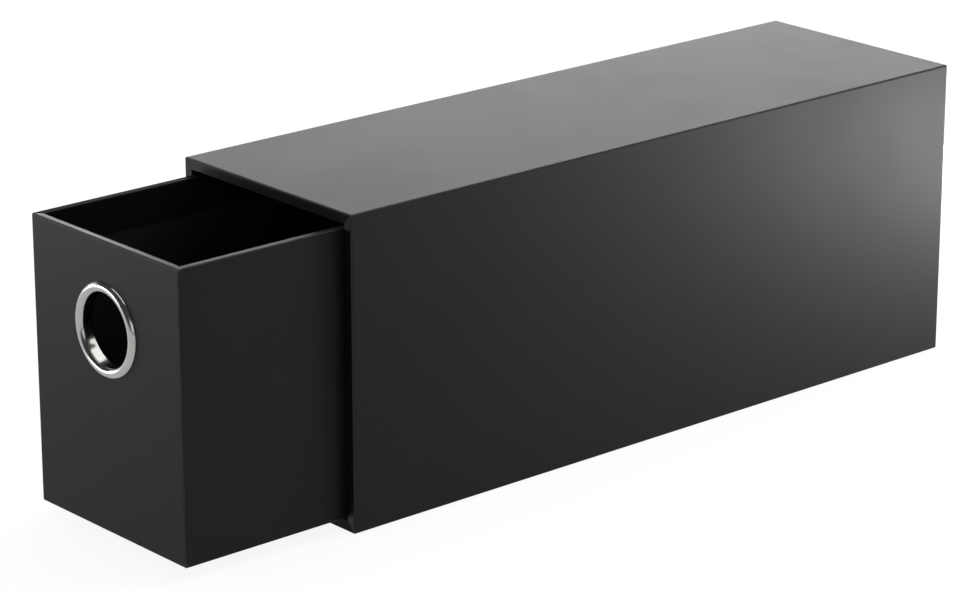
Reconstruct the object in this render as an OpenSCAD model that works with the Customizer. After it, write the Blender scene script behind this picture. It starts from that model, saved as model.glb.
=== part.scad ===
// Card storage drawer: a rigid board sleeve, closed at the back, with a sliding
// board drawer that is pulled by a finger through a metal eyelet.
// Units are millimetres. The origin is the centre of the sleeve's underside,
// +Z is up, and the drawer pulls out along -Y.

/* [Drawer inside] */
// Clear width between the turned-in paper of the side walls
inside_w = 71; // [62:0.5:110]
// Clear length between the turned-in paper of the front and back walls
inside_l = 262; // [120:1:420]
// Clear depth from the floor lining to the rim
inside_h = 94; // [70:0.5:140]

/* [Boards] */
// Thickness of the sleeve's boards
sleeve_board = 3; // [1.5:0.1:4]
// Thickness of the drawer's boards
drawer_board = 2; // [1.2:0.1:3]

/* [Papers] */
// Thickness of the covering paper
wrap = 0.2; // [0.15:0.01:0.25]
// Thickness of the lining paper
lining = 0.2; // [0.15:0.01:0.4]
// Thickness of the corner tape under the covering paper
stay = 0.15; // [0.12:0.01:0.25]
// Width of one leg of the corner tape
stay_leg = 15; // [8:0.5:20]
// Outer radius of the covering paper where it folds round a corner
fold_r = 0.5; // [0.4:0.05:0.6]
// Depth of the covering paper turned into the sleeve's mouth
mouth_turn_in = 16; // [8:0.5:30]
// Depth of the covering paper turned over the drawer's rim
rim_turn_in = 12; // [6:0.5:13]
// Width of the covering paper turned on to the sleeve's back and under the drawer
margin = 12; // [6:0.5:20]
// Distance from an edge of the box to the edge of its back or base sheet
sheet_inset = 1.5; // [0.5:0.1:4]

/* [Fit] */
// Clearance on each side of the drawer in the sleeve's mouth
side_gap = 0.5; // [0.3:0.05:1.5]
// Clearance over the drawer's rim in the sleeve's mouth
top_gap = 1.3; // [0.4:0.05:3]
// Clearance between the drawer's base and the sleeve's floor
run_gap = 0.3; // [0.2:0.05:0.8]
// Clearance behind the drawer when it is closed
back_gap = 0.8; // [0.3:0.1:3]
// How far the drawer is pulled out
pulled_out = 63; // [0:1:200]

/* [Eyelet] */
// Diameter of the finger hole through the eyelet
eyelet_bore = 24; // [18:0.5:28]
// Width of the domed flange from the bore to its outer edge
flange_w = 3.5; // [2.5:0.1:5]
// Height of the domed flange over the paper, as a share of half its width
flange_rise = 0.8; // [0.6:0.05:0.95]
// Thickness of the eyelet's metal
eyelet_metal = 0.4; // [0.3:0.05:0.5]
// Radial clearance round the eyelet's barrel
eyelet_gap = 0.1; // [0.05:0.01:0.3]
// Width of the rolled edge that clinches the eyelet at the back
clinch_w = 2; // [1.6:0.1:2.4]
// Height of the rolled edge over the washer, as a share of half its width
clinch_rise = 0.9; // [0.7:0.05:0.95]
// Width of the washer from the eyelet's barrel to its outer edge
washer_w = 2.5; // [2.4:0.1:5]
// Thickness of the washer
washer_t = 0.5; // [0.3:0.05:1]
// Distance from the paper turned over the rim down to the washer
washer_below = 2; // [1:0.5:20]

/* [Hidden] */
$fn = 96;

paper_colour = "#2b2a2b";
lining_colour = "#141414";
board_colour = "#6f6a62";
tape_colour = "#8a6f4d";
metal_colour = "#c9c9cc";

// From the outside in, every wall is covering paper, corner tape, board, lining and turned-in paper.
skin = wrap + stay;
sleeve_wall = skin + sleeve_board + lining + wrap;
drawer_wall = skin + drawer_board + lining + wrap;
drawer_floor = 2 * wrap + drawer_board + lining;
back_wall = 2 * wrap + sleeve_board + lining;

drawer_w = inside_w + 2 * drawer_wall;
drawer_l = inside_l + 2 * drawer_wall;
drawer_h = inside_h + drawer_floor;

sleeve_w = drawer_w + 2 * side_gap + 2 * sleeve_wall;
sleeve_l = drawer_l + back_gap + back_wall;
sleeve_h = drawer_h + run_gap + top_gap + 2 * sleeve_wall;

// Underside of the sleeve's covering paper, over the base sheet
under_z = wrap;
mouth_y = -sleeve_l / 2;
back_y = sleeve_l / 2;
// Outer face of the sleeve's covering paper at the back, under the back sheet
wrap_back_y = back_y - wrap;
// Outer face of the sleeve's back board
board_back_y = wrap_back_y - wrap;

sleeve_board_w = sleeve_w - 2 * skin;
sleeve_board_h = sleeve_h - 2 * skin;
sleeve_clear_w = sleeve_board_w - 2 * sleeve_board;
sleeve_clear_h = sleeve_board_h - 2 * sleeve_board;

front_y = mouth_y - pulled_out;
drawer_mid_y = front_y + drawer_l / 2;
base_z = under_z + sleeve_wall + run_gap;
rim_z = base_z + drawer_h;
// Underside of the drawer's boards, over the base sheet and the paper turned under
board_z = base_z + 2 * wrap;
floor_z = board_z + drawer_board;

drawer_board_w = drawer_w - 2 * skin;
drawer_board_l = drawer_l - 2 * skin;
drawer_clear_w = drawer_board_w - 2 * drawer_board;
drawer_clear_l = drawer_board_l - 2 * drawer_board;

bore_r = eyelet_bore / 2;
barrel_r = bore_r + eyelet_metal;
eyelet_hole_r = barrel_r + eyelet_gap;
washer_r = eyelet_hole_r + washer_w;
eyelet_z = rim_z - rim_turn_in - washer_below - washer_r;
// Thickness that the eyelet clamps, from the covering paper to the lining
grip = skin + drawer_board + lining;

// Shapes that repeat

// Extrudes an outline drawn in the XZ plane from y0 to y1.
module along_y(y0, y1) {
    translate([0, y1, 0]) rotate([90, 0, 0]) linear_extrude(y1 - y0) children();
}

// Extrudes an outline drawn in the XY plane from z0 to z1.
module along_z(z0, z1) {
    translate([0, 0, z0]) linear_extrude(z1 - z0) children();
}

// Rectangle with round corners, about the origin.
module round_rect(w, h, r) {
    square([w - 2 * r, h], center = true);
    square([w, h - 2 * r], center = true);
    for (x = [-1, 1], y = [-1, 1])
        translate([x * (w / 2 - r), y * (h / 2 - r)]) circle(r);
}

// Frame of even width t inside a sharp rectangle.
module frame(w, h, t) {
    difference() {
        square([w, h], center = true);
        square([w - 2 * t, h - 2 * t], center = true);
    }
}

// Paper of a covering wrap seen end on, folded round four corners.
module folded_frame(w, h) {
    difference() {
        round_rect(w, h, fold_r);
        round_rect(w - 2 * wrap, h - 2 * wrap, fold_r - wrap);
    }
}

// Flat paper from the folded outline in to a sharp opening.
module folded_lip(w, h, open_w, open_h) {
    difference() {
        round_rect(w, h, fold_r);
        square([open_w, open_h], center = true);
    }
}

// Corner tape seen end on, between the boards and the covering paper.
module stay_corners(w, h) {
    intersection() {
        difference() {
            round_rect(w - 2 * wrap, h - 2 * wrap, fold_r - wrap);
            square([w - 2 * skin, h - 2 * skin], center = true);
        }
        for (x = [-1, 1], y = [-1, 1])
            translate([x * w / 2, y * h / 2]) square(2 * (stay_leg + skin), center = true);
    }
}

// Places an outline at the middle of the sleeve's end, or of the drawer's plan.
module at_sleeve_end() { translate([0, under_z + sleeve_h / 2]) children(); }
module at_drawer_plan() { translate([0, drawer_mid_y]) children(); }

// Turns +Z out of the drawer's front, with its origin on the paper at the finger hole.
module at_eyelet() { translate([0, front_y, eyelet_z]) rotate([90, 0, 0]) children(); }

// Round hole through the drawer's front wall for the eyelet's barrel.
module eyelet_hole() {
    at_eyelet() translate([0, 0, -2 * drawer_wall]) cylinder(h = 3 * drawer_wall, r = eyelet_hole_r);
}

// Half section of a rolled metal edge that starts at the bore, is w wide and rises by a share of half of that.
module rolled_edge(w, rise) {
    h = rise * w / 2;
    roll_r = (pow(w / 2, 2) + h * h) / (2 * h);
    intersection() {
        translate([bore_r + w / 2, h - roll_r]) difference() {
            circle(roll_r);
            circle(roll_r - eyelet_metal);
        }
        translate([bore_r, 0]) square([w, h]);
    }
}

// Sleeve

// One of the sleeve's level boards, from its lower face.
module sleeve_level_board(z) {
    translate([-sleeve_board_w / 2, mouth_y + wrap, z])
        cube([sleeve_board_w, board_back_y - mouth_y - wrap, sleeve_board]);
}

// One of the sleeve's upright boards, from its left face.
module sleeve_side_board(x) {
    translate([x, mouth_y + wrap, under_z + skin + sleeve_board])
        cube([sleeve_board, board_back_y - mouth_y - wrap, sleeve_clear_h]);
}

module sleeve_top_board() {
    color(board_colour) sleeve_level_board(under_z + sleeve_h - skin - sleeve_board);
}

module sleeve_base_board() {
    color(board_colour) sleeve_level_board(under_z + skin);
}

module sleeve_left_board() {
    color(board_colour) sleeve_side_board(-sleeve_board_w / 2);
}

module sleeve_right_board() {
    color(board_colour) sleeve_side_board(sleeve_board_w / 2 - sleeve_board);
}

module sleeve_back_board() {
    color(board_colour) along_y(board_back_y - sleeve_board, board_back_y)
        at_sleeve_end() square([sleeve_clear_w, sleeve_clear_h], center = true);
}

module sleeve_corner_stays() {
    color(tape_colour) along_y(mouth_y + wrap, board_back_y)
        at_sleeve_end() stay_corners(sleeve_w, sleeve_h);
}

module sleeve_lining() {
    color(lining_colour) along_y(mouth_y + wrap, board_back_y - sleeve_board)
        at_sleeve_end() frame(sleeve_clear_w, sleeve_clear_h, lining);
}

module sleeve_back_lining() {
    color(lining_colour) along_y(board_back_y - sleeve_board - lining, board_back_y - sleeve_board)
        at_sleeve_end() square([sleeve_clear_w - 2 * lining, sleeve_clear_h - 2 * lining], center = true);
}

// One sheet round the four sides, turned into the mouth and on to the back.
module sleeve_wrap() {
    mouth_w = sleeve_w - 2 * sleeve_wall;
    mouth_h = sleeve_h - 2 * sleeve_wall;
    color(paper_colour) {
        along_y(mouth_y, wrap_back_y) at_sleeve_end() folded_frame(sleeve_w, sleeve_h);
        along_y(mouth_y, mouth_y + wrap)
            at_sleeve_end() folded_lip(sleeve_w, sleeve_h, mouth_w, mouth_h);
        along_y(mouth_y, mouth_y + mouth_turn_in)
            at_sleeve_end() frame(mouth_w + 2 * wrap, mouth_h + 2 * wrap, wrap);
        along_y(wrap_back_y - wrap, wrap_back_y)
            at_sleeve_end() folded_lip(sleeve_w, sleeve_h, sleeve_w - 2 * margin, sleeve_h - 2 * margin);
    }
}

module sleeve_back_sheet() {
    color(paper_colour) along_y(wrap_back_y, back_y)
        at_sleeve_end() square([sleeve_w - 2 * sheet_inset, sleeve_h - 2 * sheet_inset], center = true);
}

module sleeve_base_sheet() {
    color(paper_colour) along_z(0, under_z)
        square([sleeve_w - 2 * sheet_inset, sleeve_l - 2 * sheet_inset], center = true);
}

// Drawer

// One of the drawer's end boards, from its front face.
module drawer_end_board(y) {
    translate([-drawer_clear_w / 2, y, board_z])
        cube([drawer_clear_w, drawer_board, rim_z - wrap - board_z]);
}

// One of the drawer's side boards, from its left face.
module drawer_side_board(x) {
    translate([x, front_y + skin, board_z])
        cube([drawer_board, drawer_board_l, rim_z - wrap - board_z]);
}

module drawer_front_board() {
    color(board_colour) difference() {
        drawer_end_board(front_y + skin);
        eyelet_hole();
    }
}

module drawer_back_board() {
    color(board_colour) drawer_end_board(front_y + drawer_l - skin - drawer_board);
}

module drawer_left_board() {
    color(board_colour) drawer_side_board(-drawer_board_w / 2);
}

module drawer_right_board() {
    color(board_colour) drawer_side_board(drawer_board_w / 2 - drawer_board);
}

module drawer_floor_board() {
    color(board_colour) along_z(board_z, floor_z)
        at_drawer_plan() square([drawer_clear_w, drawer_clear_l], center = true);
}

module drawer_corner_stays() {
    color(tape_colour) along_z(board_z, rim_z - wrap)
        at_drawer_plan() stay_corners(drawer_w, drawer_l);
}

module drawer_wall_lining() {
    color(lining_colour) difference() {
        along_z(floor_z, rim_z - wrap)
            at_drawer_plan() frame(drawer_clear_w, drawer_clear_l, lining);
        eyelet_hole();
    }
}

module drawer_floor_lining() {
    color(lining_colour) along_z(floor_z, floor_z + lining)
        at_drawer_plan() square([drawer_clear_w - 2 * lining, drawer_clear_l - 2 * lining], center = true);
}

// One sheet round the four walls, turned over the rim and under the floor.
module drawer_wrap() {
    color(paper_colour) difference() {
        union() {
            along_z(base_z + wrap, rim_z) at_drawer_plan() folded_frame(drawer_w, drawer_l);
            along_z(rim_z - wrap, rim_z)
                at_drawer_plan() folded_lip(drawer_w, drawer_l, inside_w, inside_l);
            along_z(rim_z - rim_turn_in, rim_z)
                at_drawer_plan() frame(inside_w + 2 * wrap, inside_l + 2 * wrap, wrap);
            along_z(base_z + wrap, board_z)
                at_drawer_plan() folded_lip(drawer_w, drawer_l, drawer_w - 2 * margin, drawer_l - 2 * margin);
        }
        eyelet_hole();
    }
}

module drawer_base_sheet() {
    color(paper_colour) along_z(base_z, base_z + wrap)
        at_drawer_plan() square([drawer_w - 2 * sheet_inset, drawer_l - 2 * sheet_inset], center = true);
}

// Eyelet

// Domed flange outside, barrel through the wall, and an edge rolled over the washer inside.
module eyelet() {
    back_z = -grip - washer_t;
    color(metal_colour) at_eyelet() rotate_extrude() {
        rolled_edge(flange_w, flange_rise);
        translate([bore_r, back_z]) square([eyelet_metal, -back_z]);
        translate([0, back_z]) mirror([0, 1]) rolled_edge(clinch_w, clinch_rise);
    }
}

module eyelet_washer() {
    color(metal_colour) at_eyelet() translate([0, 0, -grip - washer_t]) difference() {
        cylinder(h = washer_t, r = washer_r);
        translate([0, 0, -washer_t]) cylinder(h = 3 * washer_t, r = eyelet_hole_r);
    }
}

sleeve_top_board();
sleeve_base_board();
sleeve_left_board();
sleeve_right_board();
sleeve_back_board();
sleeve_corner_stays();
sleeve_lining();
sleeve_back_lining();
sleeve_wrap();
sleeve_back_sheet();
sleeve_base_sheet();
drawer_front_board();
drawer_back_board();
drawer_left_board();
drawer_right_board();
drawer_floor_board();
drawer_corner_stays();
drawer_wall_lining();
drawer_floor_lining();
drawer_wrap();
drawer_base_sheet();
eyelet();
eyelet_washer();
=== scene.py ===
"""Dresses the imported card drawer: folded covering papers, linings, boards and the plated eyelet."""

import math

import bmesh
import bpy
from mathutils import Matrix, Vector


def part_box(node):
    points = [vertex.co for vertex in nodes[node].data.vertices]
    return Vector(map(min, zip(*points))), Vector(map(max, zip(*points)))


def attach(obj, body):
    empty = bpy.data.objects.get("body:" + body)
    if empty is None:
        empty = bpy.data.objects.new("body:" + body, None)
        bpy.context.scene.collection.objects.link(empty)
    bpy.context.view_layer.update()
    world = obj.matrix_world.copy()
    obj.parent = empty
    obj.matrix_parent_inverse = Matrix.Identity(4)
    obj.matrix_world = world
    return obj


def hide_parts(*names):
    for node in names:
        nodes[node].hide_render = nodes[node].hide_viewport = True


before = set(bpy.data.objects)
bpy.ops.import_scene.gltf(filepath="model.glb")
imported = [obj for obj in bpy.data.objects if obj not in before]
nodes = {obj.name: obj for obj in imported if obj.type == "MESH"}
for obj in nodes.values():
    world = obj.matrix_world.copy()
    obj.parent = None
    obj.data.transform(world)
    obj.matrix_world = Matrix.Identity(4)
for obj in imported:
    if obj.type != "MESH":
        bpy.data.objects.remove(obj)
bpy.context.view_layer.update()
scene = bpy.context.scene

# Sizes that the part's source names too, in metres
MM = 0.001
PAPER = 0.2 * MM
FOLD_R = 0.5 * MM
SLEEVE_WALL = 3.75 * MM
DRAWER_WALL = 2.75 * MM
MOUTH_TURN_IN = 16 * MM
RIM_TURN_IN = 12 * MM
MARGIN = 12 * MM
SHEET_INSET = 1.5 * MM
BORE_R = 12 * MM
METAL = 0.4 * MM
FLANGE_W = 3.5 * MM
CLINCH_W = 2.0 * MM
BARREL_GAP = 0.1 * MM
GRIP = 2.55 * MM
WASHER_W = 2.5 * MM
WASHER_T = 0.5 * MM

sleeve_low, sleeve_high = (Vector(corner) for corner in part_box("sleeve_wrap"))
drawer_low, drawer_high = (Vector(corner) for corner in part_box("drawer_wrap"))
eyelet_low, eyelet_high = (Vector(corner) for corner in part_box("eyelet"))
eyelet_mid = Vector((0, drawer_low.y, (eyelet_low.z + eyelet_high.z) / 2))
flange_rise = drawer_low.y - eyelet_low.y
clinch_rise = eyelet_high.y - drawer_low.y - GRIP - WASHER_T


# Shader maths


class Wire:
    """One output of a shader node. Sums and products of wires and numbers add Math nodes."""

    def __init__(self, finish, socket):
        self.finish = finish
        self.socket = socket

    def math(self, operation, *values):
        return self.finish.node("ShaderNodeMath", {"operation": operation}, dict(enumerate((self, *values))))

    def __add__(self, other):
        return self.math("ADD", other)

    __radd__ = __add__

    def __sub__(self, other):
        return self.math("SUBTRACT", other)

    def __rsub__(self, other):
        return (self * -1.0) + other

    def __mul__(self, other):
        return self.math("MULTIPLY", other)

    __rmul__ = __mul__

    def __pow__(self, other):
        return self.math("POWER", other)

    def size(self):
        return self.math("ABSOLUTE")

    def least(self, other):
        return self.math("MINIMUM", other)

    def most(self, other):
        return self.math("MAXIMUM", other)

    def ramp(self, low, high):
        """0 at low and 1 at high, eased at both ends. low may be the larger."""
        return self.finish.node(
            "ShaderNodeMapRange",
            {"interpolation_type": "SMOOTHSTEP"},
            {"Value": self, "From Min": low, "From Max": high},
        )


class Finish:
    """The node tree of one material."""

    def __init__(self, name):
        self.material = bpy.data.materials.new(name)
        self.material.use_nodes = True
        self.tree = self.material.node_tree
        self.tree.nodes.clear()

    def node(self, kind, settings=None, sockets=None, out=0):
        """Adds a node, with its settings first and then the values or wires of its sockets."""
        made = self.tree.nodes.new(kind)
        for name, value in (settings or {}).items():
            setattr(made, name, value)
        for name, value in (sockets or {}).items():
            if isinstance(value, Wire):
                self.tree.links.new(value.socket, made.inputs[name])
            else:
                made.inputs[name].default_value = value
        return Wire(self, made.outputs[out]) if made.outputs else None

    def place(self):
        """Object coordinates of the piece, which every pattern reads."""
        return self.node("ShaderNodeTexCoord", out="Object")

    def stretched(self, place, scale, turn=(0, 0, 0)):
        """Coordinates turned and scaled, for patterns that run one way."""
        return self.node("ShaderNodeMapping", None, {"Vector": place, "Rotation": turn, "Scale": scale})

    def noise(self, place, scale, detail=2.0, rough=0.5, warp=0.0):
        return self.node(
            "ShaderNodeTexNoise",
            None,
            {"Vector": place, "Scale": scale, "Detail": detail, "Roughness": rough, "Distortion": warp},
        )

    def axes(self, place):
        """The three coordinates of a place, each as a wire of its own."""
        split = self.node("ShaderNodeSeparateXYZ", None, {"Vector": place}).socket.node
        return [Wire(self, output) for output in split.outputs]

    def blend(self, share, first, second):
        """Colour between first and second by share. Each of the two is a wire or a plain colour."""
        first, second = (end if isinstance(end, Wire) else (*end, 1.0) for end in (first, second))
        return self.node("ShaderNodeMix", {"data_type": "RGBA"}, {0: share, 6: first, 7: second}, out=2)

    def bump(self, height, strength, distance, under=None):
        """A normal bent by a height, on top of the one under it."""
        sockets = {"Height": height, "Strength": strength, "Distance": distance}
        if under is not None:
            sockets["Normal"] = under
        return self.node("ShaderNodeBump", None, sockets)

    def surface(self, sockets):
        """Ends the tree in a Principled surface."""
        made = self.node("ShaderNodeBsdfPrincipled", None, sockets)
        self.node("ShaderNodeOutputMaterial", None, {"Surface": made})
        return self.material


# Finishes


def covering_paper(name, low, high):
    """Black paper under a satin film, with a painted highlight along every fold of the box between low and high that
    it covers, and rubbed pale in stretches of the folds and at knocked corners.
    """
    ink_dark, ink_pale = (0.0055, 0.0053, 0.0054), (0.0082, 0.008, 0.0081)
    pale_fibre_and_highlight = (0.16, 0.155, 0.15)
    satin = 0.455
    f = Finish(name)
    place = f.place()
    mid, half = (low + high) / 2, (high - low) / 2
    depth = [half[i] - (axis - mid[i]).size() for i, axis in enumerate(f.axes(place))]
    nearest = depth[0].least(depth[1])
    farther = depth[0].most(depth[1])
    edge = nearest.most(farther.least(depth[2]))
    corner = farther.most(depth[2])

    # Marks by the distance from an edge or a corner: a painted highlight along the crease itself, and wear in rubbed
    # stretches of it and at knocked corners
    patches = f.noise(place, 55.0, 3.0, 0.6)
    grit = f.noise(place, 900.0, 2.0, 0.6)
    rub = (edge + (grit - 0.5) * (0.3 * MM)).ramp(0.32 * MM, 0.05 * MM) * patches.ramp(0.4, 0.7)
    knock = (corner + (grit - 0.5) * (1.2 * MM)).ramp(1.6 * MM, 0.3 * MM) * edge.ramp(0.9 * MM, 0.2 * MM)
    # Painted highlight: a faint pale line along every fold, standing in for the light that the rounded crease catches
    fold_highlight = edge.ramp(0.5 * MM, 0.1 * MM)
    wear_and_fold_highlight = (fold_highlight * 0.2 + rub * 0.14 + knock * 0.25).least(1.0)

    # Marks of handling and the paper's own grain
    clouds = f.noise(place, 22.0, 4.0, 0.55)
    fibre = f.noise(f.stretched(place, (1.0, 0.45, 1.0)), 6500.0, 2.0, 0.6)
    eggshell = f.noise(place, 1900.0, 2.0, 0.5)
    smudge = f.noise(place, 30.0, 3.0, 0.6, 0.8).ramp(0.4, 0.75)
    hairs = f.noise(f.stretched(place, (2300.0, 34.0, 2300.0), (0.05, 0.1, 0.3)), 1.0, 1.0, 0.5).ramp(0.745, 0.8)
    cross = f.noise(f.stretched(place, (52.0, 2100.0, 900.0), (0.1, 0.2, -0.25)), 1.0, 1.0, 0.5).ramp(0.76, 0.81)
    scuffs = hairs.most(cross) * patches.ramp(0.45, 0.6)

    ink = f.blend(clouds, ink_dark, ink_pale)
    # The pale fibre colour shows real rubbing and knocks, and also the painted highlight along every fold
    colour = f.blend((wear_and_fold_highlight + scuffs * 0.05).least(1.0), ink, pale_fibre_and_highlight)
    roughness = satin + smudge * 0.018 + (fibre - 0.5) * 0.05 - scuffs * 0.06 + wear_and_fold_highlight * 0.2

    drift = f.bump(f.noise(place, 9.0, 1.0, 0.4), 0.4, 0.05 * MM)
    shell = f.bump(eggshell, 0.3, 0.016 * MM, drift)
    grain = f.bump(fibre, 0.22, 0.01 * MM, shell)
    normal = f.bump(scuffs, 0.2, -0.006 * MM, grain)
    return f.surface({"Base Color": colour, "Roughness": roughness, "Specular IOR Level": 0.1, "Normal": normal})


def lining_paper():
    """Uncoated black paper with a dull, slightly fibrous face."""
    f = Finish("lining_paper")
    place = f.place()
    fibre = f.noise(f.stretched(place, (1.0, 0.3, 1.0)), 2600.0, 4.0, 0.65)
    flecks = f.noise(place, 1500.0, 1.0, 0.5).ramp(0.7, 0.78)
    clouds = f.noise(place, 40.0, 3.0, 0.6)
    black = f.blend(clouds, (0.0098, 0.0096, 0.0097), (0.0145, 0.0142, 0.0143))
    colour = f.blend(flecks * 0.25, black, (0.05, 0.049, 0.047))
    roughness = 0.8 + (fibre - 0.5) * 0.12
    normal = f.bump(fibre, 0.4, 0.03 * MM)
    return f.surface({"Base Color": colour, "Roughness": roughness, "Specular IOR Level": 0.2, "Normal": normal})


def grey_board():
    """Raw pulp board, flecked with pale and dark fibre."""
    f = Finish("grey_board")
    place = f.place()
    pulp = f.noise(place, 420.0, 5.0, 0.65)
    pale = f.noise(f.stretched(place, (1.0, 0.35, 1.0)), 900.0, 2.0, 0.5).ramp(0.62, 0.74)
    dark = f.noise(f.stretched(place, (0.4, 1.0, 1.0)), 1100.0, 2.0, 0.5).ramp(0.66, 0.76)
    colour = f.blend(pulp, (0.14, 0.13, 0.115), (0.24, 0.225, 0.2))
    colour = f.blend(pale * 0.5, colour, (0.38, 0.36, 0.32))
    colour = f.blend(dark * 0.6, colour, (0.05, 0.047, 0.042))
    normal = f.bump(pulp, 0.35, 0.08 * MM)
    return f.surface({"Base Color": colour, "Roughness": 0.86 + (pulp - 0.5) * 0.1, "Normal": normal})


def kraft_tape():
    """Gummed brown tape with a ribbed machine finish."""
    f = Finish("kraft_tape")
    place = f.place()
    ribs = f.noise(f.stretched(place, (1.0, 0.08, 1.0)), 2400.0, 2.0, 0.5)
    clouds = f.noise(place, 120.0, 4.0, 0.6)
    colour = f.blend(clouds, (0.2, 0.125, 0.062), (0.3, 0.2, 0.105))
    normal = f.bump(ribs, 0.3, 0.03 * MM)
    return f.surface({"Base Color": colour, "Roughness": 0.62 + (ribs - 0.5) * 0.2, "Normal": normal})


def nickel_plate(middle):
    """Bright plated metal with fine turned lines round the bore and a little handling haze."""
    f = Finish("nickel_plate")
    place = f.place()
    x, y, z = f.axes(place)
    radius = ((x - middle.x) ** 2.0 + (z - middle.z) ** 2.0) ** 0.5
    along = f.node("ShaderNodeCombineXYZ", None, {"X": radius * 9000.0, "Y": y * 9000.0})
    turned = f.noise(along, 1.0, 2.0, 0.6)
    haze = f.noise(place, 170.0, 3.0, 0.6, 0.5).ramp(0.45, 0.85)
    specks = f.noise(place, 2400.0, 1.0, 0.5).ramp(0.72, 0.8)
    colour = f.blend(haze, (0.37, 0.365, 0.355), (0.32, 0.315, 0.305))
    roughness = 0.16 + haze * 0.08 + (turned - 0.5) * 0.08 + specks * 0.15
    normal = f.bump(turned, 0.12, 0.008 * MM)
    return f.surface({"Base Color": colour, "Metallic": 1.0, "Roughness": roughness, "Normal": normal})


# Folded papers

ARC_STEPS = 6
EASE = 0.35 * MM
TIGHT = 0.12 * MM
MITRE_DEPTH = 0.1 * MM
HOLE_PARTS = 96
FOLD_SHARP = math.radians(32)
SHEET_SOFT = 0.06 * MM
SHEET_CORNER_R = 0.4 * MM
SHEET_CORNER_STEPS = 4
SHEET_SINK = 0.13 * MM
# How a sheet sinks past the edge of the margins beneath it: millimetres past that edge, and share of the full depth
SINK_STEPS = ((-2.0, 0.0), (-0.9, 0.0), (-0.45, 0.15), (0.0, 0.5), (0.45, 0.85), (0.9, 1.0), (2.0, 1.0))


def right_angle_path(corners, radius, steps, ease, closed=False):
    """Points along a path whose turns are right angles, each turn an arc with a plain point either side of it."""
    points = []
    count = len(corners)
    for k, corner in enumerate(corners):
        if not closed and k in (0, count - 1):
            points.append(Vector(corner))
            continue
        here = Vector(corner)
        into = (here - Vector(corners[k - 1])).normalized()
        out = (Vector(corners[(k + 1) % count]) - here).normalized()
        centre = here - into * radius + out * radius
        points.append(here - into * (radius + ease))
        for s in range(steps + 1):
            turn = math.pi / 2 * s / steps
            points.append(centre + radius * (into * math.sin(turn) - out * math.cos(turn)))
        points.append(here + out * (radius + ease))
    return points


def shifted_path(corners, by):
    """The corners of a right-angled path moved to its right by a distance."""
    moved = []
    last = len(corners) - 1
    for k, corner in enumerate(corners):
        here = Vector(corner)
        sides = []
        if k > 0:
            sides.append((here - Vector(corners[k - 1])).normalized())
        if k < last:
            sides.append((Vector(corners[k + 1]) - here).normalized())
        for way in sides:
            here = here + Vector((way.y, -way.x)) * by
        moved.append(here)
    return moved


def folded_cover(name, half, wall, turn_in, length, to_place, hole=None):
    """A sheet folded round a box of the half sizes given and open at one end. It starts inside the wall, runs out
    over the wall's end, along the box for its length and in on to the far end as a margin. to_place turns (across,
    up, distance from the open end) into a point. The flat folds are creased where their corners are mitred. hole cuts
    a round hole through the front wall."""
    section = [(wall, turn_in), (wall, 0), (0, 0), (0, length), (MARGIN, length)]
    outer = right_angle_path(section, FOLD_R, ARC_STEPS, EASE)
    inner = right_angle_path(shifted_path(section, PAPER), FOLD_R - PAPER, ARC_STEPS, EASE)
    outline = outer + inner[::-1]
    per_corner = ARC_STEPS + 3
    mesh = bmesh.new()
    rings = []
    for k, (inset, along) in enumerate(outline):
        a, b = half[0] - inset, half[1] - inset
        corners = [(a, b), (-a, b), (-a, -b), (a, -b)]
        ring = right_angle_path(corners, max(FOLD_R - inset, TIGHT), ARC_STEPS, EASE, closed=True)
        dent = 0.0
        if 0 < k < len(outer) - 1 and inset > FOLD_R:
            way = outer[k + 1] - outer[k - 1]
            if abs(way.x) > 4 * abs(way.y):
                dent = math.copysign(MITRE_DEPTH, way.x)
        row = []
        for j, point in enumerate(ring):
            in_corner = 0 < j % per_corner < per_corner - 1
            row.append(mesh.verts.new(to_place(point.x, point.y, along - (dent if in_corner else 0.0))))
        rings.append(row)
    count = len(rings[0])
    for k, row in enumerate(rings):
        ahead = rings[(k + 1) % len(rings)]
        for j in range(count):
            mesh.faces.new((row[j], row[(j + 1) % count], ahead[(j + 1) % count], ahead[j]))
    mesh.normal_update()
    if hole is not None:
        cut_round_hole(mesh, hole)
    bmesh.ops.recalc_face_normals(mesh, faces=mesh.faces)
    return finished_mesh(name, mesh)


def cut_round_hole(mesh, hole):
    """Replaces the two flat faces of a front wall by faces round a circle, and joins the circles."""
    middle, radius, parts = hole
    panels = [
        face
        for face in mesh.faces
        if abs(face.normal.y) > 0.99
        and len(face.verts) == 4
        and min(v.co.x for v in face.verts) < middle.x - radius
        and max(v.co.x for v in face.verts) > middle.x + radius
        and min(v.co.z for v in face.verts) < middle.z - radius
        and max(v.co.z for v in face.verts) > middle.z + radius
        and face.calc_center_median().y < middle.y + DRAWER_WALL
    ]
    circles = []
    for panel in panels:
        level = panel.calc_center_median().y
        ends = sorted(panel.verts, key=lambda v: math.atan2(v.co.z - middle.z, v.co.x - middle.x))
        start = math.atan2(ends[0].co.z - middle.z, ends[0].co.x - middle.x)
        mesh.faces.remove(panel)
        circle = []
        for s in range(parts):
            turn = start + 2 * math.pi * s / parts
            circle.append(
                mesh.verts.new((middle.x + radius * math.cos(turn), level, middle.z + radius * math.sin(turn)))
            )
        quarter = parts // 4
        for e, end in enumerate(ends):
            first = e * quarter
            for s in range(quarter):
                at = first - quarter // 2 + s
                mesh.faces.new((end, circle[at % parts], circle[(at + 1) % parts]))
            mesh.faces.new((end, circle[(first + quarter // 2) % parts], ends[(e + 1) % 4]))
        circles.append(circle)
    for s in range(parts):
        t = (s + 1) % parts
        mesh.faces.new((circles[0][s], circles[0][t], circles[1][t], circles[1][s]))


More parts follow.
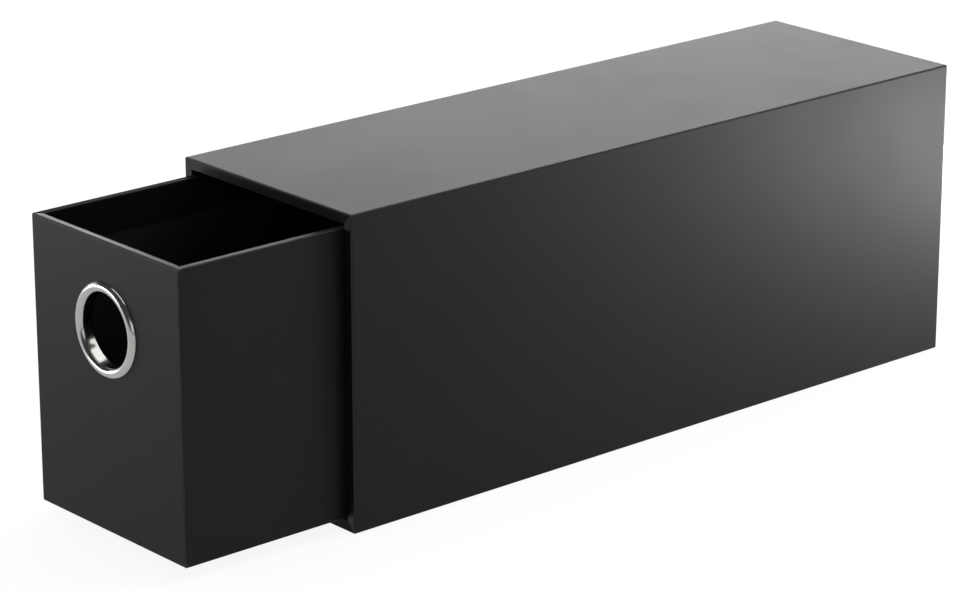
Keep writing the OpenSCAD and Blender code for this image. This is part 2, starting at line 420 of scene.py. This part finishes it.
def finished_mesh(name, mesh):
    """Turns mesh code into an object at the origin, smooth but for its sharp edges."""
    data = bpy.data.meshes.new(name)
    mesh.to_mesh(data)
    mesh.free()
    data.shade_smooth()
    data.set_sharp_from_angle(angle=FOLD_SHARP)
    piece = bpy.data.objects.new(name, data)
    scene.collection.objects.link(piece)
    return piece


def make_sleeve_cover():
    half = ((sleeve_high.x - sleeve_low.x) / 2, (sleeve_high.z - sleeve_low.z) / 2)
    mid, mouth = (sleeve_low + sleeve_high) / 2, sleeve_low.y
    length = sleeve_high.y - mouth
    return folded_cover(
        "sleeve_cover",
        half,
        SLEEVE_WALL,
        MOUTH_TURN_IN,
        length,
        lambda across, up, along: (mid.x + across, mouth + along, mid.z + up),
    )


def make_drawer_cover():
    half = ((drawer_high.x - drawer_low.x) / 2, (drawer_high.y - drawer_low.y) / 2)
    mid, rim = (drawer_low + drawer_high) / 2, drawer_high.z
    length = rim - drawer_low.z
    return folded_cover(
        "drawer_cover",
        half,
        DRAWER_WALL,
        RIM_TURN_IN,
        length,
        lambda across, up, along: (mid.x + across, mid.y + up, rim - along),
        (eyelet_mid, BORE_R + METAL + BARREL_GAP, HOLE_PARTS),
    )


def glued_sheet(name, low, high, axis, way, margin_edge, sink):
    """A flat sheet over turned-in margins, sunk a little inside their edge. way is the side that it faces along the
    axis, and margin_edge is how far in from its own edge the margins beneath it end."""
    across, up = [i for i in range(3) if i != axis]
    thick = high[axis] - low[axis]
    face = high[axis] if way > 0 else low[axis]
    mid = (low + high) / 2
    sunk = [(margin_edge + past * MM, -share * sink) for past, share in SINK_STEPS]
    rows = [(0, -thick), (0, -SHEET_SOFT), (SHEET_SOFT, 0)]
    under = [(inset, height - thick) for inset, height in sunk]
    mesh = bmesh.new()
    rings = []
    for inset, height in under[::-1] + rows + sunk:
        a, b = (high[across] - low[across]) / 2 - inset, (high[up] - low[up]) / 2 - inset
        corners = [(a, b), (-a, b), (-a, -b), (a, -b)]
        row = []
        for point in right_angle_path(corners, SHEET_CORNER_R, SHEET_CORNER_STEPS, EASE, closed=True):
            place = [0.0, 0.0, 0.0]
            place[across] = mid[across] + point.x
            place[up] = mid[up] + point.y
            place[axis] = face + way * height
            row.append(mesh.verts.new(place))
        rings.append(row)
    count = len(rings[0])
    for row, ahead in zip(rings, rings[1:]):
        for j in range(count):
            mesh.faces.new((row[j], row[(j + 1) % count], ahead[(j + 1) % count], ahead[j]))
    mesh.faces.new(rings[0])
    mesh.faces.new(rings[-1])
    bmesh.ops.recalc_face_normals(mesh, faces=mesh.faces)
    return finished_mesh(name, mesh)


def make_sheet(name, node_name, axis, way, sink):
    low, high = (Vector(corner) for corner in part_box(node_name))
    return glued_sheet(name, low, high, axis, way, MARGIN - SHEET_INSET, sink)


# Eyelet

RING_PARTS = 180
RING_SHARP = math.radians(40)
WELD = 1e-7
WASHER_SOFT = 0.12 * MM


def sweep_tree(material):
    """Geometry nodes that carry a drawn section round the finger hole."""
    tree = bpy.data.node_groups.new("swept_ring", "GeometryNodeTree")
    for name, kind, way in (
        ("Section", "NodeSocketGeometry", "INPUT"),
        ("Ring Radius", "NodeSocketFloat", "INPUT"),
        ("Ring Parts", "NodeSocketInt", "INPUT"),
        ("Middle", "NodeSocketVector", "INPUT"),
        ("Turn", "NodeSocketVector", "INPUT"),
        ("Ring", "NodeSocketGeometry", "OUTPUT"),
    ):
        tree.interface.new_socket(name, in_out=way, socket_type=kind)
    add, link = tree.nodes.new, tree.links.new
    given, made = add("NodeGroupInput"), add("NodeGroupOutput")
    path, section = add("GeometryNodeCurvePrimitiveCircle"), add("GeometryNodeMeshToCurve")
    sweep, seat = add("GeometryNodeCurveToMesh"), add("GeometryNodeTransform")
    smooth, paint = add("GeometryNodeSetShadeSmooth"), add("GeometryNodeSetMaterial")
    real = add("GeometryNodeRealizeInstances")
    paint.inputs["Material"].default_value = material
    link(given.outputs["Ring Radius"], path.inputs["Radius"])
    link(given.outputs["Ring Parts"], path.inputs["Resolution"])
    link(given.outputs["Section"], section.inputs["Mesh"])
    link(path.outputs["Curve"], sweep.inputs["Curve"])
    link(section.outputs["Curve"], sweep.inputs["Profile Curve"])
    link(sweep.outputs["Mesh"], seat.inputs["Geometry"])
    link(given.outputs["Middle"], seat.inputs["Translation"])
    link(given.outputs["Turn"], seat.inputs["Rotation"])
    link(seat.outputs["Geometry"], smooth.inputs["Geometry"])
    link(smooth.outputs["Geometry"], paint.inputs["Geometry"])
    link(paint.outputs["Geometry"], real.inputs["Geometry"])
    link(real.outputs["Geometry"], made.inputs["Ring"])
    return tree


def swept_ring(name, tree, outline, ring_radius):
    """A closed section, as (radius, height out of the front), carried round the finger hole's axis."""
    drawn = bpy.data.meshes.new(name + "_section")
    points = [(radius - ring_radius, height, 0) for radius, height in outline]
    drawn.from_pydata(points, [(k, (k + 1) % len(points)) for k in range(len(points))], [])
    maker = bpy.data.objects.new(name + "_maker", drawn)
    scene.collection.objects.link(maker)
    change = maker.modifiers.new("sweep", "NODES")
    change.node_group = tree
    values = {
        "Ring Radius": ring_radius,
        "Ring Parts": RING_PARTS,
        "Middle": eyelet_mid,
        "Turn": (-math.pi / 2, 0, 0),
    }
    for item in tree.interface.items_tree:
        if item.name in values:
            change[item.identifier] = values[item.name]
    bpy.context.view_layer.update()
    graph = bpy.context.evaluated_depsgraph_get()
    data = bpy.data.meshes.new_from_object(maker.evaluated_get(graph), depsgraph=graph)
    bpy.data.objects.remove(maker)
    mesh = bmesh.new()
    mesh.from_mesh(data)
    bmesh.ops.remove_doubles(mesh, verts=mesh.verts, dist=WELD)
    bmesh.ops.recalc_face_normals(mesh, faces=mesh.faces)
    mesh.to_mesh(data)
    mesh.free()
    data.name = name
    data.set_sharp_from_angle(angle=RING_SHARP)
    piece = bpy.data.objects.new(name, data)
    scene.collection.objects.link(piece)
    return piece


def roll(width, rise, thin, steps, upwards):
    """Arc of a rolled edge from the bore outwards, as (radius, height). thin sets it inside the outer face by the
    thickness of the metal, and upwards is 1 or -1."""
    radius = ((width / 2) ** 2 + rise**2) / (2 * rise)
    centre = (BORE_R + width / 2, rise - radius)
    radius -= thin
    low = math.asin(-centre[1] / radius)
    points = []
    for s in range(steps + 1):
        turn = math.pi - low - (math.pi - 2 * low) * s / steps
        points.append((centre[0] + radius * math.cos(turn), upwards * (centre[1] + radius * math.sin(turn))))
    return points


def make_eyelet(tree):
    back = -GRIP - WASHER_T
    flange_out = roll(FLANGE_W, flange_rise, thin=0.0, steps=28, upwards=1)
    flange_in = roll(FLANGE_W, flange_rise, thin=METAL, steps=16, upwards=1)
    clinch_out = [(r, back + h) for r, h in roll(CLINCH_W, clinch_rise, thin=0.0, steps=18, upwards=-1)]
    clinch_in = [(r, back + h) for r, h in roll(CLINCH_W, clinch_rise, thin=METAL, steps=12, upwards=-1)]
    outline = flange_out[::-1] + clinch_out + clinch_in[::-1] + flange_in
    return swept_ring("eyelet_ring", tree, outline, BORE_R)


def make_washer(tree):
    inside = BORE_R + METAL + BARREL_GAP
    low, high = -GRIP - WASHER_T, -GRIP
    corners = [(inside, high), (inside, low), (inside + WASHER_W, low), (inside + WASHER_W, high)]
    outline = right_angle_path(corners, WASHER_SOFT, 4, WASHER_SOFT, closed=True)
    return swept_ring("eyelet_back_ring", tree, [(point.x, point.y) for point in outline], inside)


# Object

sleeve_paper = covering_paper("sleeve_paper", sleeve_low, sleeve_high)
drawer_paper = covering_paper("drawer_paper", drawer_low, drawer_high)
lining = lining_paper()
board = grey_board()
tape = kraft_tape()
nickel = nickel_plate(eyelet_mid)

for node_name, finish in {
    "sleeve_top_board": board,
    "sleeve_base_board": board,
    "sleeve_left_board": board,
    "sleeve_right_board": board,
    "sleeve_back_board": board,
    "sleeve_corner_stays": tape,
    "sleeve_lining": lining,
    "sleeve_back_lining": lining,
    "drawer_front_board": board,
    "drawer_back_board": board,
    "drawer_left_board": board,
    "drawer_right_board": board,
    "drawer_floor_board": board,
    "drawer_corner_stays": tape,
    "drawer_wall_lining": lining,
    "drawer_floor_lining": lining,
}.items():
    nodes[node_name].data.materials.clear()
    nodes[node_name].data.materials.append(finish)

sleeve_cover = make_sleeve_cover()
drawer_cover = make_drawer_cover()
sleeve_back_cover = make_sheet("sleeve_back_cover", "sleeve_back_sheet", axis=1, way=1, sink=SHEET_SINK)
sleeve_base_cover = make_sheet("sleeve_base_cover", "sleeve_base_sheet", axis=2, way=-1, sink=0.0)
drawer_base_cover = make_sheet("drawer_base_cover", "drawer_base_sheet", axis=2, way=-1, sink=SHEET_SINK)
ring_tree = sweep_tree(nickel)
eyelet_ring = make_eyelet(ring_tree)
eyelet_back_ring = make_washer(ring_tree)

for piece, body, node_name, slot, finish in (
    (sleeve_cover, "sleeve", "sleeve_wrap", "covering_paper", sleeve_paper),
    (drawer_cover, "drawer", "drawer_wrap", "covering_paper", drawer_paper),
    (sleeve_back_cover, "sleeve", "sleeve_back_sheet", "covering_paper", sleeve_paper),
    (sleeve_base_cover, "sleeve", "sleeve_base_sheet", "covering_paper", sleeve_paper),
    (drawer_base_cover, "drawer", "drawer_base_sheet", "covering_paper", drawer_paper),
    (eyelet_ring, "drawer", "eyelet", "nickel", nickel),
    (eyelet_back_ring, "drawer", "eyelet_washer", "nickel", nickel),
):
    piece.data.materials.clear()
    piece.data.materials.append(finish)
    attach(piece, body)
    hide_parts(node_name)


# Stage

FLOOR_HALF = 4.0
FLOOR_WHITE = (0.82, 0.82, 0.82, 1.0)
WHITE = (1.0, 1.0, 1.0, 1.0)
FLOOR_GLOW = 1.1
GLOW_SHARE = 0.82
AMBIENT = 0.1
LENS = 136.54
CAMERA_AZIMUTH = math.radians(48.764)
CAMERA_ELEVATION = math.radians(18.496)
CAMERA_PLACE = (0.89113, -0.82289, 0.44491)

# Name, place, point that it faces, width, height and watts. The back left box shows in the top and the right strip in
# the side that the photograph shows. The back, left and front right boxes and the left strip serve the other sides.
SOFTBOXES = (
    ("back_left_box", (-0.8, 0.75, 0.3), (0, 0, 0.1), 0.8, 0.4, 6.2),
    ("back_right_box", (0.75, 0.75, 0.9), (0, 0, 0.1), 0.8, 0.4, 2.2),
    ("front_left_box", (-0.42, -0.5, 0.1), (0, -0.18, 0.05), 0.4, 0.16, 1.8),
    ("front_right_box", (0.9, -0.6, 0.32), (0, 0, 0.1), 0.8, 0.4, 1.2),
    ("back_box", (0.0, 1.05, 0.32), (0, 0, 0.1), 0.7, 0.35, 2.4),
    ("left_box", (-1.05, -0.05, 0.32), (0, -0.05, 0.1), 0.7, 0.35, 1.6),
    ("left_back_strip", (-0.16, 0.32, 0.015), (-0.04, 0.13, 0.03), 0.2, 0.025, 1.18),
    ("right_back_strip", (0.16, 0.32, 0.015), (0.04, 0.13, 0.03), 0.2, 0.025, 1.18),
    ("overhead_box", (0.0, 0.3, 1.1), (0, 0, 0.05), 1.0, 1.5, 11.0),
)


def make_floor():
    """A plain pale floor that looks white to the camera and in reflections, and takes soft shadows."""
    mesh = bmesh.new()
    bmesh.ops.create_grid(mesh, x_segments=1, y_segments=1, size=FLOOR_HALF)
    data = bpy.data.meshes.new("floor")
    mesh.to_mesh(data)
    mesh.free()
    floor = bpy.data.objects.new("floor", data)
    scene.collection.objects.link(floor)
    f = Finish("floor_white")
    seen = f.node("ShaderNodeLightPath", out="Is Camera Ray")
    shine = f.node("ShaderNodeLightPath", out="Is Glossy Ray")
    through = f.node("ShaderNodeLightPath", out="Is Transmission Ray")
    shown = seen.most(shine).most(through)
    matt = f.node("ShaderNodeBsdfDiffuse", None, {"Color": FLOOR_WHITE})
    glow = f.node("ShaderNodeEmission", None, {"Color": WHITE, "Strength": FLOOR_GLOW})
    both = f.node("ShaderNodeMixShader", None, {0: shown * GLOW_SHARE, 1: matt, 2: glow})
    f.node("ShaderNodeOutputMaterial", None, {"Surface": both})
    data.materials.append(f.material)


def softbox(name, place, target, width, height, watts):
    """A rectangular lamp that the camera doesn't see."""
    data = bpy.data.lights.new(name, "AREA")
    data.shape = "RECTANGLE"
    data.size = width
    data.size_y = height
    data.energy = watts
    lamp = bpy.data.objects.new(name, data)
    scene.collection.objects.link(lamp)
    lamp.location = place
    lamp.rotation_euler = (Vector(target) - Vector(place)).to_track_quat("-Z", "Y").to_euler()
    lamp.visible_camera = False


def make_camera():
    """The photograph's view, upright, from its fitted place and direction."""
    data = bpy.data.cameras.new("camera")
    data.sensor_width = 36.0
    data.lens = LENS
    data.clip_start = 0.05
    camera = bpy.data.objects.new("camera", data)
    scene.collection.objects.link(camera)
    level = math.cos(CAMERA_ELEVATION)
    back = Vector(
        (math.sin(CAMERA_AZIMUTH) * level, -math.cos(CAMERA_AZIMUTH) * level, math.sin(CAMERA_ELEVATION))
    )
    right = Vector((0, 0, 1)).cross(back).normalized()
    up = back.cross(right)
    turn = Matrix((right, up, back)).transposed().to_4x4()
    camera.matrix_world = Matrix.Translation(CAMERA_PLACE) @ turn
    scene.camera = camera


make_floor()
for lamp in SOFTBOXES:
    softbox(*lamp)
make_camera()

world = bpy.data.worlds.new("studio")
scene.world = world
world.use_nodes = True
sky = world.node_tree.nodes["Background"]
sky.inputs["Color"].default_value = WHITE
sky.inputs["Strength"].default_value = AMBIENT
scene.view_settings.view_transform = "Standard"
